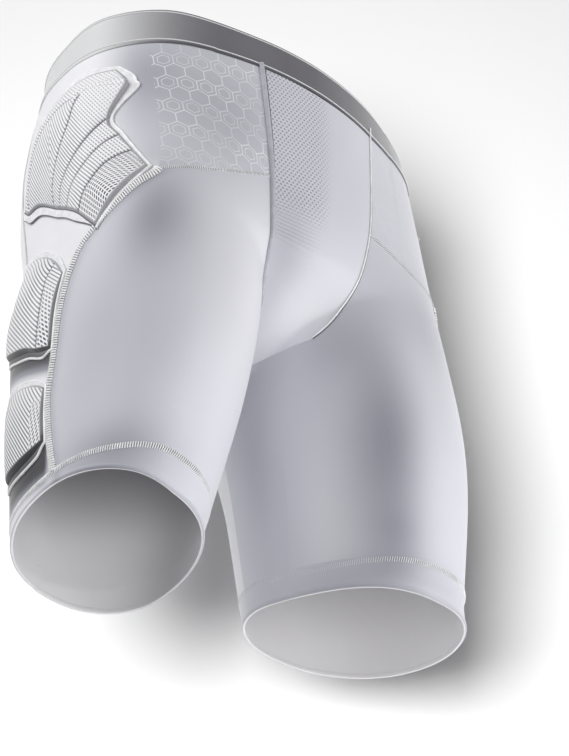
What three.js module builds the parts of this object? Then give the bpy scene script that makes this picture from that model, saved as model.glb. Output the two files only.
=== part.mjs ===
// Padded sports shorts with built-in hip pads, in the shape of the body that wears them.
// Millimetres, +Z up, the front faces -Y and +X is the wearer's left.
// The origin is the middle of the waist opening, level with the top of the waistband at the back.
import * as THREE from "three";

// Driving dimensions of the trunk
const WAIST_WIDTH = 320;
const WAIST_FRONT = 125; // from the origin forward to the waistband
const WAIST_BACK = 114;
const HIP_WIDTH = 322;
const HIP_FRONT = 108;
const HIP_BACK = 121;
const RISE = 234; // waist down to where the thighs are widest
const LENGTH = 445; // waist down to the hems
const FRONT_DIP = 12; // how much lower the waistband runs in front

// Driving dimensions of one leg, measured from the leg's own axis
const AXIS_X = 89;
const AXIS_Y = -8;
const HEM_AXIS_Y = 2;
const SPLAY = 5.2; // degrees that each leg leans out below the hips
const THIGH_OUT = 74;
const THIGH_IN = 83;
const THIGH_FRONT = 111;
const THIGH_BACK = 94;
const MID_OUT = 67;
const MID_IN = 74;
const MID_FRONT = 116;
const MID_BACK = 86;
const HEM_OUT = 58;
const HEM_IN = 70;
const HEM_FRONT = 83;
const HEM_BACK = 71;

// The worn legs differ a little: extra lengths in millimetres, and the hems' tilts
const SIDES = [
  { name: "right", sign: -1, axis: 0, out: 0, front: 0, hemFront: 0, hemBack: 0, tiltFront: 5, tiltOut: -17 },
  { name: "left", sign: 1, axis: 4, out: 3, front: 6, hemFront: 20, hemBack: 4, tiltFront: -14, tiltOut: 6 },
];

// Cloth, waistband, hems and pads
const CLOTH = 1.6;
const SEAM_GAP = 0.6;
const HEM_GAP = 1.2;
const TIP_GAP = 3.2; // round the pouch's narrow tip
const TIP_RISE = 0.6; // how far above the crotch's lowest point the pouch ends
const BAND_HEIGHT = 37;
const BAND_WALL = 2.4;
const BAND_RAISE = 0.8;
const BAND_RIDGE = 0.7; // the cord-like edges of the waistband
const BAND_RIDGE_WIDTH = 2.5;
const HEM_HEIGHT = 22;
const HEM_CLEAR = 18; // highest side of a tilted hem above its mean level
const HEM_WALL = 2.6;
const HEM_RAISE = 0.3;
const HEM_ROLL = 0.8; // the rolled lower edge of a hem
const POUCH_BULGE = 9;
const GUSSET_TURN = 28; // degrees behind the inseam where a crotch panel meets the back
const BACK_EDGE = 50; // degrees behind the side where the side panel ends
const PAD_LIFT = 0.9; // air under a pad's border plate and under the pad
const PAD_PLATE = 1.4; // the flat border plate under a pad
const PAD_MARGIN = 5;
const PAD_THICKNESS = 7;
const PAD_CHANNEL = 4.2; // depth of the sewn channels between a pad's lobes
const PAD_EDGE = 2.4; // thickness left at a pad's rim

// How sections are rounded: 2 gives an ellipse, more gives squarer corners
const POWER = { trunkFront: 2.2, trunkBack: 2.3, legFront: 2.4, legBack: 2.15 };
const TRUNK_Y = -5; // middle of the trunk's sections, front to back
const BLEND = 28; // radius that rounds the groin
const CONE = 0.04; // rounds the trunk's closed underside
const UNDER_TOP = 0.85 * RISE; // below this drop the trunk closes
const UNDER_RADIUS = 20;
const THIGH_RADIUS = 95; // a usual distance from a leg's axis to the cloth
const RAY_START = 20; // rays from an axis look for the cloth between these distances
const RAY_END = 240;
// Rows of the panels above the yoke seam, between it and the pouch's tip, and below that
const ROWS = { yoke: 5, rise: 6, leg: 8 };
const COLUMNS = { front: 9, side: 8, back: 9, inner: 6, pouch: 10, ring: 36 };
const PAD_STEPS = 8; // columns along each row of a pad
const RISE_EASE = 1.4; // above 1, rows lie closer towards the pouch's tip
const LEG_EASE = 1.3;
const INNER_EASE = 1.2; // how much more the inner thigh's rows crowd up in its middle
const GRAIN_POWER = 5; // how late the front panels' columns turn towards the pouch's seam
const EDGE_STEPS = 72; // rows of the tables of the panels' edges
const EDGE_EASE = 1.8;
const LEG_TOP = 0.8 * RISE; // below this drop the legs lean out
const THIGH_MID = (RISE + LENGTH) / 2;
const RAD = Math.PI / 180;

const lerp = (a, b, t) => a + (b - a) * t;

// A smooth curve through a short table, with rows of [place, value].
function curve(rows, place) {
  const last = rows.length - 1;
  const x = Math.min(Math.max(place, rows[0][0]), rows[last][0]);
  let i = 0;
  while (i < last - 1 && x > rows[i + 1][0]) i++;
  const slope = (k) => {
    const a = rows[Math.max(k - 1, 0)];
    const b = rows[Math.min(k + 1, last)];
    return (b[1] - a[1]) / (b[0] - a[0]);
  };
  const step = rows[i + 1][0] - rows[i][0];
  const t = (x - rows[i][0]) / step;
  const rise = t * t * (3 - 2 * t);
  const start = t * (1 - t) * (1 - t) * step * slope(i);
  const end = t * t * (t - 1) * step * slope(i + 1);
  return lerp(rows[i][1], rows[i + 1][1], rise) + start + end;
}

function smoothMin(a, b) {
  const h = Math.min(Math.max(0.5 + (0.5 * (b - a)) / BLEND, 0), 1);
  return lerp(b, a, h) - BLEND * h * (1 - h);
}

// The trunk's half width and its reach forward and back, by drop below the waist
const TRUNK_HALF = [
  [0, WAIST_WIDTH / 2],
  [0.4 * RISE, HIP_WIDTH / 2],
  [0.75 * RISE, 0.48 * HIP_WIDTH],
  [1.05 * RISE, 0.46 * HIP_WIDTH],
  [1.4 * RISE, 0.425 * HIP_WIDTH],
];
const TRUNK_FRONT = [
  [0, WAIST_FRONT],
  [0.4 * RISE, 1.1 * HIP_FRONT],
  [0.75 * RISE, HIP_FRONT],
  [1.05 * RISE, 0.84 * HIP_FRONT],
  [1.4 * RISE, 0.5 * HIP_FRONT],
];
const TRUNK_BACK = [
  [0, WAIST_BACK],
  [0.4 * RISE, 0.97 * HIP_BACK],
  [0.75 * RISE, HIP_BACK],
  [1.05 * RISE, 0.8 * HIP_BACK],
  [1.4 * RISE, 0.42 * HIP_BACK],
];

// How far a point lies outside the trunk, about.
function trunkDistance(x, y, drop) {
  const half = curve(TRUNK_HALF, drop);
  const front = y < TRUNK_Y;
  const reach = front ? curve(TRUNK_FRONT, drop) + TRUNK_Y : curve(TRUNK_BACK, drop) - TRUNK_Y;
  const power = front ? POWER.trunkFront : POWER.trunkBack;
  const flat = Math.pow(Math.abs(x / half), power) + Math.pow(Math.abs((y - TRUNK_Y) / reach), power);
  const radius = Math.sqrt(Math.pow(flat, 2 / power) + CONE) - Math.sqrt(1 + CONE);
  const under = Math.max(0, drop - UNDER_TOP);
  return radius * Math.min(half, reach) + (under * under) / (2 * UNDER_RADIUS);
}

// The sections of one leg by drop: outwards, inwards, forward and back from its axis.
function legTables(side) {
  const thighOut = THIGH_OUT + side.out / 2;
  const hemOut = HEM_OUT + side.out;
  const hemFront = HEM_FRONT + side.hemFront;
  const hemBack = HEM_BACK + side.hemBack;
  return {
    out: [
      [0, 0.5 * thighOut],
      [0.5 * RISE, 0.8 * thighOut],
      [RISE, thighOut],
      [THIGH_MID, MID_OUT + side.out],
      [LENGTH, hemOut],
    ],
    in: [
      [0, 0.5 * THIGH_IN],
      [0.5 * RISE, 0.8 * THIGH_IN],
      [RISE, THIGH_IN],
      [THIGH_MID, MID_IN],
      [LENGTH, HEM_IN],
    ],
    front: [
      [0, 0.5 * THIGH_FRONT],
      [0.5 * RISE, 0.85 * THIGH_FRONT],
      [RISE, THIGH_FRONT],
      [THIGH_MID, MID_FRONT + side.front],
      [LENGTH, hemFront],
    ],
    back: [
      [0, 0.7 * THIGH_BACK],
      [0.4 * RISE, 0.93 * HIP_BACK],
      [0.75 * RISE, 1.04 * HIP_BACK],
      [1.05 * RISE, (THIGH_BACK + HIP_BACK) / 2],
      [1.35 * RISE, 0.96 * THIGH_BACK],
      [THIGH_MID, MID_BACK],
      [LENGTH, hemBack],
    ],
  };
}
for (const side of SIDES) side.tables = legTables(side);

function legAxis(side, drop) {
  const below = Math.max(0, drop - LEG_TOP);
  const x = AXIS_X + side.axis + Math.tan(SPLAY * RAD) * below;
  const y = lerp(AXIS_Y, HEM_AXIS_Y, below / (LENGTH - LEG_TOP));
  return [x, y];
}

function legDistance(side, x, y, drop) {
  const [axisX, axisY] = legAxis(side, drop);
  const across = side.sign * x - axisX;
  const along = y - axisY;
  const wide = curve(across > 0 ? side.tables.out : side.tables.in, drop);
  const deep = curve(along < 0 ? side.tables.front : side.tables.back, drop);
  const power = along < 0 ? POWER.legFront : POWER.legBack;
  const flat = Math.pow(Math.abs(across / wide), power) + Math.pow(Math.abs(along / deep), power);
  return (Math.pow(flat, 1 / power) - 1) * Math.min(wide, deep);
}

// Below zero inside the body that the shorts fit.
function field(x, y, z) {
  const legs = SIDES.map((side) => legDistance(side, x, y, -z));
  return smoothMin(smoothMin(trunkDistance(x, y, -z), legs[0]), legs[1]);
}

function outward(p) {
  const e = 0.5;
  return new THREE.Vector3(
    field(p.x + e, p.y, p.z) - field(p.x - e, p.y, p.z),
    field(p.x, p.y + e, p.z) - field(p.x, p.y - e, p.z),
    field(p.x, p.y, p.z + e) - field(p.x, p.y, p.z - e),
  ).normalize();
}

// The last point inside the body on a level ray.
function hit(originX, originY, z, stepX, stepY, near, far) {
  let low = near;
  let high = far;
  for (let i = 0; i < 18; i++) {
    const middle = (low + high) / 2;
    if (field(originX + stepX * middle, originY + stepY * middle, z) < 0) low = middle;
    else high = middle;
  }
  return new THREE.Vector3(originX + stepX * low, originY + stepY * low, z);
}

// The surface round one leg's axis: angle 0 is the side, 90 the front and 180 the inseam.
// Rays stop half a seam gap short of the middle plane.
function surface(side, angle, drop) {
  const [axisX, axisY] = legAxis(side, drop);
  const stepX = Math.cos(angle * RAD);
  const toMiddle = stepX < 0 ? (axisX - SEAM_GAP / 2) / -stepX : RAY_END;
  const far = Math.min(RAY_END, toMiddle);
  const near = Math.min(RAY_START, far);
  return hit(side.sign * axisX, axisY, -drop, side.sign * stepX, -Math.sin(angle * RAD), near, far);
}

const reachesMiddle = (side, angle, drop) => Math.abs(surface(side, angle, drop).x) < SEAM_GAP / 2 + 0.05;

// The point on the front of the trunk at this distance across.
const frontSurface = (x, drop) => hit(x, TRUNK_Y, -drop, 0, -1, 0, RAY_END);

// The angle between two limits where a test changes from false to true.
function turnWhere(test, low, high) {
  for (let i = 0; i < 22; i++) {
    const middle = (low + high) / 2;
    if (test(middle)) high = middle;
    else low = middle;
  }
  return (low + high) / 2;
}

// The drop of the crotch, and of the pouch's tip just above it
const CROTCH = turnWhere((drop) => field(0, AXIS_Y, -drop) > 0, 0.9 * RISE, 1.3 * RISE);
const POUCH_END = CROTCH - TIP_RISE;

// Seams, by drop below the waist
const waistDrop = (angle) => FRONT_DIP * (0.5 + 0.5 * Math.sin(angle * RAD));
const bandDrop = (angle) => waistDrop(angle) + BAND_HEIGHT;
const hemDrop = (side, angle) =>
  LENGTH - side.tiltFront * Math.sin(angle * RAD) + side.tiltOut * Math.cos(angle * RAD);
const hemTopDrop = (side, angle) => hemDrop(side, angle) - HEM_HEIGHT;

// Half the pouch's width by drop
const POUCH_HALF = [
  [BAND_HEIGHT, 0.36 * HIP_WIDTH / 2],
  [0.63 * RISE, 0.32 * HIP_WIDTH / 2],
  [0.9 * RISE, 0.265 * HIP_WIDTH / 2],
  [0.98 * RISE, 0.225 * HIP_WIDTH / 2],
  [POUCH_END - 6, 0.15 * HIP_WIDTH / 2],
  [POUCH_END, 0.08 * HIP_WIDTH / 2],
];

// The seam between the front and the side panels: degrees in front of the side, by drop
const SIDE_SEAM = [
  [BAND_HEIGHT, 58],
  [0.45 * RISE, 62],
  [0.77 * RISE, 67],
  [0.85 * RISE, 54],
  [0.97 * RISE, 36],
  [1.18 * RISE, 19],
  [1.45 * RISE, 15],
  [LENGTH - HEM_HEIGHT, 24],
];

// The front edge of an inner thigh panel, in degrees, from the pouch's tip to the hem
const INNER_SEAM = [
  [POUCH_END + 45, 166],
  [POUCH_END + 95, 158],
  [LENGTH - HEM_HEIGHT, 161],
];

const YOKE_DROP = { side: 0.775 * RISE, pouch: 0.64 * RISE };

// The angle between two limits at each of a run of drops, kept as a table so that panels can share it.
function edgeTable(find, below) {
  const rows = [];
  for (let k = 0; k <= EDGE_STEPS; k++) {
    const drop = POUCH_END * (1 - Math.pow(1 - k / EDGE_STEPS, EDGE_EASE));
    rows.push([drop, find(drop)]);
  }
  return [...rows, ...below];
}

// Edges of one leg half's panels, in degrees by drop: the pouch's seam and the inner thigh seam below it,
// and the middle of the back with the crotch panel's back edge below it.
function edgesOf(side) {
  const onPouch = (drop) =>
    turnWhere((angle) => side.sign * surface(side, angle, drop).x < curve(POUCH_HALF, drop), 60, 179);
  const onBack = (drop) => -turnWhere((turn) => reachesMiddle(side, -turn, drop), 60, 179);
  const hem = LENGTH - HEM_HEIGHT;
  const backBelow = [
    [POUCH_END + 40, GUSSET_TURN - 180],
    [hem, GUSSET_TURN - 180],
  ];
  return { pouch: edgeTable(onPouch, INNER_SEAM), back: edgeTable(onBack, backBelow) };
}
for (const side of SIDES) side.edges = edgesOf(side);

const frontEdge = (side) => (drop) => curve(side.edges.pouch, drop);

// A closed solid from two grids of points with the same layout, one outside and one inside.
function shell(rows, columns, place, wrap = false) {
  const positions = [];
  const index = [];
  const across = wrap ? columns : columns + 1;
  for (let layer = 0; layer < 2; layer++)
    for (let i = 0; i <= rows; i++)
      for (let j = 0; j < across; j++) positions.push(...place(i / rows, j / columns)[layer].toArray());
  const at = (layer, i, j) => (layer * (rows + 1) + i) * across + (wrap ? j % columns : j);
  const quad = (a, b, c, d) => index.push(a, b, c, a, c, d);
  for (let i = 0; i < rows; i++)
    for (let j = 0; j < columns; j++) {
      quad(at(0, i, j), at(0, i + 1, j), at(0, i + 1, j + 1), at(0, i, j + 1));
      quad(at(1, i, j), at(1, i, j + 1), at(1, i + 1, j + 1), at(1, i + 1, j));
    }
  for (let j = 0; j < columns; j++) {
    quad(at(0, 0, j), at(0, 0, j + 1), at(1, 0, j + 1), at(1, 0, j));
    quad(at(0, rows, j + 1), at(0, rows, j), at(1, rows, j), at(1, rows, j + 1));
  }
  if (!wrap)
    for (let i = 0; i < rows; i++) {
      quad(at(0, i + 1, 0), at(0, i, 0), at(1, i, 0), at(1, i + 1, 0));
      quad(at(0, i, columns), at(0, i + 1, columns), at(1, i + 1, columns), at(1, i, columns));
    }
  const geometry = new THREE.BufferGeometry();
  geometry.setAttribute("position", new THREE.Float32BufferAttribute(positions, 3));
  geometry.setIndex(index);
  return facingOut(geometry);
}

// Turns all faces round if the solid came out inside out, as mirrored sides do.
function facingOut(geometry) {
  const points = geometry.getAttribute("position");
  const index = geometry.getIndex().array;
  const corner = (k) => new THREE.Vector3().fromBufferAttribute(points, index[k]);
  let volume = 0;
  for (let k = 0; k < index.length; k += 3) volume += corner(k).dot(corner(k + 1).cross(corner(k + 2)));
  if (volume < 0)
    for (let k = 0; k < index.length; k += 3) {
      const first = index[k];
      index[k] = index[k + 1];
      index[k + 1] = first;
    }
  geometry.computeVertexNormals();
  return geometry;
}

// Two points of a wall: its outer face raised from the body, and its inner face below that.
function wall(point, raise, thickness) {
  const normal = outward(point);
  const outer = point.clone().addScaledVector(normal, raise);
  const inner = point.clone().addScaledVector(normal, raise - thickness);
  const side = Math.sign(point.x);
  if (Math.abs(point.x) < SEAM_GAP / 2 + 0.1) {
    outer.x = (side * SEAM_GAP) / 2;
    inner.x = outer.x;
  }
  return [outer, inner];
}

// The angle that half a seam gap takes up, about
const gapTurn = SEAM_GAP / 2 / THIGH_RADIUS / RAD;

// Drops down a panel, row by row: from the waistband to the yoke seam, the pouch's tip and the hem.
function levels(top, yoke, low) {
  const rows = [];
  for (let k = 0; k < ROWS.yoke; k++) rows.push(lerp(top, yoke, k / ROWS.yoke));
  for (let k = 0; k < ROWS.rise; k++) {
    const share = 1 - Math.pow(1 - k / ROWS.rise, RISE_EASE);
    rows.push(lerp(yoke, POUCH_END, share));
  }
  for (let k = 0; k <= ROWS.leg; k++) rows.push(lerp(POUCH_END, low, Math.pow(k / ROWS.leg, LEG_EASE)));
  return rows;
}

// The way the front panels' columns follow on the inside, in degrees by drop: only the last few keep to the
// pouch's seam, where that turns sharply under the crotch.
const FRONT_GRAIN = [
  [BAND_HEIGHT, 109],
  [0.75 * RISE, 117],
  [RISE, 133],
  [1.25 * RISE, 155],
  [LENGTH, 160],
];

function frontTurn(side, drop, across) {
  const seam = curve(SIDE_SEAM, drop) + gapTurn;
  const grain = curve(FRONT_GRAIN, drop);
  const inner = curve(side.edges.pouch, drop) - gapTurn;
  return lerp(seam, grain, across) + (inner - grain) * Math.pow(across, GRAIN_POWER);
}

// A panel of one leg half, between two rows of its levels. Its angle is given by drop and share across.
function panel(side, turn, yoke, first, last, columns) {
  const hem = LENGTH - HEM_HEIGHT;
  return shell(last - first, columns, (down, across) => {
    const top = bandDrop(turn(BAND_HEIGHT, across)) + SEAM_GAP / 2;
    const low = hemTopDrop(side, turn(hem, across));
    const k = first + Math.round(down * (last - first));
    const lowGap = last === ROWS.yoke ? SEAM_GAP / 2 : HEM_GAP / 2;
    const gap = k === first ? SEAM_GAP / 2 : k === last ? -lowGap : 0;
    const drop = levels(top, yoke(across), low)[k] + gap;
    return wall(surface(side, turn(drop, across), drop), 0, CLOTH);
  });
}

// An inner thigh panel rises to the pouch's tip, or to where both thighs meet in the middle.
function innerThigh(side, from, to) {
  const hem = LENGTH - HEM_HEIGHT;
  const angleAt = (drop, across) => lerp(from(drop), to(drop), across);
  const meets = (across) => {
    const apart = (drop) => !reachesMiddle(side, angleAt(drop, across), drop);
    return Math.max(turnWhere(apart, POUCH_END - 20, POUCH_END + 60), POUCH_END + SEAM_GAP);
  };
  return shell(ROWS.leg, COLUMNS.inner, (down, across) => {
    const low = hemTopDrop(side, angleAt(hem, across)) - HEM_GAP / 2;
    const close = LEG_EASE + INNER_EASE * Math.sin(Math.PI * across);
    const drop = lerp(meets(across), low, Math.pow(down, close));
    return wall(surface(side, angleAt(drop, across), drop), 0, CLOTH);
  });
}

const CLOTH_LIGHT = { color: 0xcfd0d6, roughness: 0.55, metalness: 0 };
const CLOTH_GREY = { color: 0xa9abb3, roughness: 0.6, metalness: 0 };
const BAND_GREY = { color: 0x84868c, roughness: 0.5, metalness: 0 };
const PAD_LIGHT = { color: 0xe4e4e8, roughness: 0.6, metalness: 0 };

const group = new THREE.Group();

function add(name, geometry, finish) {
  const mesh = new THREE.Mesh(geometry, new THREE.MeshStandardMaterial(finish));
  mesh.name = name;
  group.add(mesh);
}

// The leg half that a share round the waistband falls on, and how far round that is from the back.
function ringPoint(share) {
  const half = share < 0.5 ? SIDES[0] : SIDES[1];
  const along = share < 0.5 ? 2 * share : 2 - 2 * share;
  return { half, along };
}

// The waistband: a wall of its own with a ridge along both edges. Rows hold drop and raise.
function waistband() {
  const profile = [
    [0, 0],
    [BAND_RIDGE_WIDTH / 2, BAND_RIDGE],
    [BAND_RIDGE_WIDTH, 0],
    [BAND_HEIGHT / 2, 0],
    [BAND_HEIGHT - BAND_RIDGE_WIDTH, 0],
    [BAND_HEIGHT - BAND_RIDGE_WIDTH / 2, BAND_RIDGE],
    [BAND_HEIGHT, 0],
  ];
  const steps = profile.length - 1;
  return shell(
    steps,
    COLUMNS.ring,
    (down, share) => {
      const { half, along } = ringPoint(share);
      const [below, ridge] = profile[Math.round(down * steps)];
      const back = curve(half.edges.back, BAND_HEIGHT / 2);
      const front = turnWhere((angle) => reachesMiddle(half, angle, BAND_HEIGHT / 2), 60, 178);
      const angle = lerp(back, front, along);
      const drop = waistDrop(angle) + below;
      const point = surface(half, angle, drop - (below === BAND_HEIGHT ? SEAM_GAP / 2 : 0));
      const [outer, inner] = wall(point, BAND_RAISE + ridge, BAND_WALL + ridge);
      if (along < 1e-6 || along > 1 - 1e-6) {
        outer.x = 0;
        inner.x = 0;
      }
      return [outer, inner];
    },
    true,
  );
}

// The pouch stands out of the front between its two seams.
function frontPouch() {
  // The share of the full bulge by share down the pouch
  const bulge = [
    [0, 0.1],
    [0.35, 0.5],
    [0.65, 1],
    [0.9, 0.8],
    [1, 0.3],
  ];
  const rows = ROWS.yoke + ROWS.rise;
  const top = bandDrop(frontEdge(SIDES[0])(BAND_HEIGHT)) + SEAM_GAP / 2;
  const drops = levels(top, YOKE_DROP.pouch, LENGTH);
  drops[0] += SEAM_GAP / 2;
  drops[rows] -= SEAM_GAP / 2;
  return shell(rows, COLUMNS.pouch, (down, share) => {
    const drop = drops[Math.round(down * rows)];
    const across = 2 * share - 1;
    const gap = drop > 0.95 * RISE ? TIP_GAP : SEAM_GAP;
    const half = curve(POUCH_HALF, drop) - gap / 2;
    const round = (1 - across * across) * curve(bulge, down);
    return wall(frontSurface(across * half, drop), POUCH_BULGE * round, CLOTH);
  });
}

// A hem: a doubled ring that ends in a roll. Rows hold height above the edge and raise.
function hem(side) {
  const profile = [
    [HEM_HEIGHT, 0],
    [0.4 * HEM_HEIGHT, 0],
    [0.12 * HEM_HEIGHT, HEM_ROLL],
    [0, 0.3 * HEM_ROLL],
  ];
  const steps = profile.length - 1;
  return shell(
    steps,
    COLUMNS.ring,
    (down, share) => {
      const [above, roll] = profile[Math.round(down * steps)];
      const angle = 360 * share;
      const gap = above === HEM_HEIGHT ? HEM_GAP / 2 : 0;
      const point = surface(side, angle, hemDrop(side, angle) - above + gap);
      return wall(point, HEM_RAISE + roll, HEM_WALL + roll);
    },
    true,
  );
}

// Pads. A row is a line of the pad from its low end to its high end. Each end is [degrees in front of the
// side, share of the pad zone], and height is the share of the full thickness, 0 at a channel's bottom.
const PAD_ZONE = {
  top: BAND_HEIGHT + 0.75 * FRONT_DIP + PAD_MARGIN + 1,
  low: LENGTH - HEM_HEIGHT - HEM_CLEAR - PAD_MARGIN,
};
const HIP_PAD = [
  { low: [-28, 0.294], high: [-8, 0], height: 0 },
  { low: [-21, 0.307], high: [2, 0], height: 1 },
  { low: [-14, 0.322], high: [12, 0.002], height: 0.1 },
  { low: [-8, 0.335], high: [24, 0.006], height: 1 },
  { low: [-2, 0.348], high: [32, 0.017], height: 0.1 },
  { low: [3, 0.368], high: [46, 0.072], height: 1 },
  { low: [8, 0.388], high: [44, 0.152], height: 0.1 },
  { low: [13, 0.4], high: [46, 0.193], height: 1 },
  { low: [17, 0.412], high: [48, 0.241], height: 0.1 },
  { low: [21, 0.428], high: [51, 0.273], height: 1 },
  { low: [25, 0.445], high: [54, 0.307], height: 0.1 },
  { low: [30, 0.468], high: [57, 0.342], height: 1 },
  { low: [33, 0.483], high: [60, 0.368], height: 0 },
];
const THIGH_PAD = [
  { low: [-50, 0.658], high: [-45, 0.415], height: 0 },
  { low: [-40, 0.679], high: [-35, 0.426], height: 0.9 },
  { low: [-26, 0.703], high: [-24, 0.443], height: 1 },
  { low: [-10, 0.731], high: [-9, 0.474], height: 1 },
  { low: [4, 0.756], high: [7, 0.523], height: 0.1 },
  { low: [11, 0.764], high: [14, 0.557], height: 0.9 },
  { low: [16, 0.769], high: [18, 0.583], height: 0 },
];
const LOWER_PAD = [
  { low: [-45, 0.989], high: [-44, 0.782], height: 0 },
  { low: [-35, 0.994], high: [-34, 0.791], height: 0.9 },
  { low: [-22, 0.996], high: [-21, 0.802], height: 1 },
  { low: [-9, 0.994], high: [-8, 0.818], height: 1 },
  { low: [2, 0.991], high: [3, 0.836], height: 0.1 },
  { low: [9, 0.989], high: [9, 0.849], height: 0.9 },
  { low: [15, 0.983], high: [13, 0.856], height: 0 },
];

// A pad's row with its drops in millimetres and both ends pushed out along it by a margin.
function padRow(row, margin) {
  const low = [row.low[0], lerp(PAD_ZONE.top, PAD_ZONE.low, row.low[1])];
  const high = [row.high[0], lerp(PAD_ZONE.top, PAD_ZONE.low, row.high[1])];
  const turn = (low[0] - high[0]) * RAD * THIGH_OUT;
  const grow = margin / Math.hypot(turn, low[1] - high[1]);
  return {
    low: [lerp(low[0], high[0], -grow), lerp(low[1], high[1], -grow)],
    high: [lerp(high[0], low[0], -grow), lerp(high[1], low[1], -grow)],
    height: row.height,
  };
}

// A solid over a pad's table, grown by a margin, from a base above the body up by its thickness.
function padBlock(side, table, margin, base, thickness) {
  const steps = table.length - 1;
  const sideTurn = margin / THIGH_OUT / RAD;
  return shell(steps, PAD_STEPS, (down, share) => {
    const push = down === 0 ? -sideTurn : down === 1 ? sideTurn : 0;
    const { low, high, height } = padRow(table[Math.round(down * steps)], margin);
    const angle = lerp(low[0], high[0], share) + push;
    const thick = thickness(height, share);
    return wall(surface(side, angle, lerp(low[1], high[1], share)), base + thick, thick);
  });
}

function pads(side) {
  const tables = { hip_pad: HIP_PAD, thigh_pad: THIGH_PAD, lower_pad: LOWER_PAD };
  for (const [name, table] of Object.entries(tables)) {
    const border = padBlock(side, table, PAD_MARGIN, PAD_LIFT, () => PAD_PLATE);
    add(`${name}_border_${side.name}`, border, CLOTH_LIGHT);
    const seat = PAD_LIFT + PAD_PLATE + PAD_LIFT;
    const crown = (height, share) => {
      const ends = Math.min(1, Math.min(share, 1 - share) * PAD_STEPS);
      const lobe = lerp(PAD_THICKNESS - PAD_CHANNEL, PAD_THICKNESS, height);
      return lerp(PAD_EDGE, lobe, ends);
    };
    add(`${name}_${side.name}`, padBlock(side, table, 0, seat, crown), PAD_LIGHT);
  }
}

add("waistband", waistband(), BAND_GREY);
add("front_pouch", frontPouch(), CLOTH_LIGHT);
for (const side of SIDES) {
  const end = { yoke: ROWS.yoke, hem: ROWS.yoke + ROWS.rise + ROWS.leg };
  const backSeam = (drop) => curve(side.edges.back, drop) + (drop > POUCH_END ? gapTurn : 0);
  const backTurn = (drop, across) => lerp(backSeam(drop), -BACK_EDGE - gapTurn, across);
  const sideTurn = (drop, across) => lerp(gapTurn - BACK_EDGE, curve(SIDE_SEAM, drop) - gapTurn, across);
  const front = (drop, across) => frontTurn(side, drop, across);
  const innerFrom = (drop) => curve(side.edges.pouch, drop) + gapTurn;
  const innerTo = (drop) => 360 + curve(side.edges.back, drop) - gapTurn;
  const slanted = (share) => lerp(YOKE_DROP.side, YOKE_DROP.pouch, share);
  const level = () => YOKE_DROP.side;
  const pieces = {
    hip_yoke: panel(side, front, slanted, 0, end.yoke, COLUMNS.front),
    thigh_front: panel(side, front, slanted, end.yoke, end.hem, COLUMNS.front),
    side_panel: panel(side, sideTurn, level, 0, end.hem, COLUMNS.side),
    back: panel(side, backTurn, level, 0, end.hem, COLUMNS.back),
    inner_thigh: innerThigh(side, innerFrom, innerTo),
    hem: hem(side),
  };
  for (const [name, geometry] of Object.entries(pieces))
    add(`${name}_${side.name}`, geometry, name === "inner_thigh" ? CLOTH_GREY : CLOTH_LIGHT);
  pads(side);
}

export default group;
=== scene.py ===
# Padded sports shorts with built-in hip pads: knit panels, an elastic waistband, a mesh pouch, and
# ribbed foam pads over the hips and thighs. Lengths are millimetres until a mesh is made, in metres.
import math
from functools import partial

import bpy
import numpy as np
from mathutils import Matrix, Vector


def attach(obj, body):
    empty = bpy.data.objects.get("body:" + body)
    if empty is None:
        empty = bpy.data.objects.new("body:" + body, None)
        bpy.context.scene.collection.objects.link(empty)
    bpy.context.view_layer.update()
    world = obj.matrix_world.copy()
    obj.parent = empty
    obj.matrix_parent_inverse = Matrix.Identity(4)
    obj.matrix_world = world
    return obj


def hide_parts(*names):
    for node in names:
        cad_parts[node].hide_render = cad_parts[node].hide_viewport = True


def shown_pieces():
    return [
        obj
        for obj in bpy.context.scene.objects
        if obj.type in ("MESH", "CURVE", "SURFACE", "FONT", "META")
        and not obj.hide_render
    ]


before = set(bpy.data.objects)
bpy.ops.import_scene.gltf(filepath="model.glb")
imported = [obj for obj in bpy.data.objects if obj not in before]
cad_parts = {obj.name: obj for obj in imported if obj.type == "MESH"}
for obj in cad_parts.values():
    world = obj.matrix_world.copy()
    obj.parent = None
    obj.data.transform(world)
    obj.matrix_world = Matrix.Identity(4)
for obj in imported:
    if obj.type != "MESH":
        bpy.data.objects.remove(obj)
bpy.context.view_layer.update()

MM = 0.001
BODY = "root"

# Driving dimensions of the worn body
WAIST_WIDTH, WAIST_FRONT, WAIST_BACK = 320, 125, 114
HIP_WIDTH, HIP_FRONT, HIP_BACK = 322, 108, 121
RISE, LENGTH, FRONT_DIP, WAIST_TILT = 234, 445, 16, 0.05
AXIS_X, AXIS_Y, HEM_AXIS_Y, SPLAY = 89, -8, 2, 5.2
THIGH = {"out": 74, "in": 83, "front": 111, "back": 94}
MID = {"out": 67, "in": 74, "front": 116, "back": 86}
HEM = {"out": 58, "in": 70, "front": 83, "back": 71}
POWER = {"trunk_front": 2.2, "trunk_back": 2.3, "leg_front": 2.4, "leg_back": 2.15}
TRUNK_Y, BLEND, CONE = -5, 28, 0.04
UNDER_TOP, UNDER_RADIUS = 0.85 * RISE, 20
LEG_TOP = 0.8 * RISE
THIGH_MID = (RISE + LENGTH) / 2
RAY_START, RAY_END, HALVINGS = 20, 240, 17

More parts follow.
